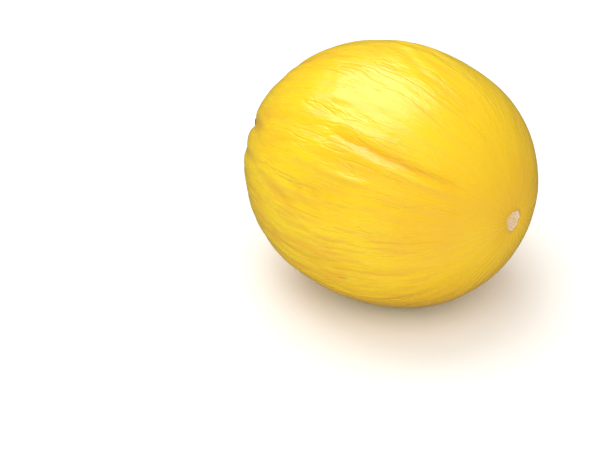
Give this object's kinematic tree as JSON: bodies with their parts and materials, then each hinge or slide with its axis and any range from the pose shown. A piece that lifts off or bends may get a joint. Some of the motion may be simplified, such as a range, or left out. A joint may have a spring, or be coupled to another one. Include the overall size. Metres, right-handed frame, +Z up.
{
  "type": "yellow honeydew melon",
  "caption": "Whole ripe yellow honeydew melon lying on its side on a small flat spot, an oval with a lightly wrinkled rind, a dry trimmed stalk stub and a corky blossom scar.",
  "frame": {"origin": "on the plane the fruit rests on, under the middle of the whole object", "axes": "+Z up; +X along the fruit, from the stalk at -X to the blossom scar at +X; +Y across it"},
  "size_m": [0.169, 0.1404, 0.1331],
  "materials": {
    "rind": "satin",
    "dry_stalk": "matte"
  },
  "bodies": {
    "root": {"melon_body": "rind", "stem_stub": "dry_stalk"}
  },
  "joints": []
}
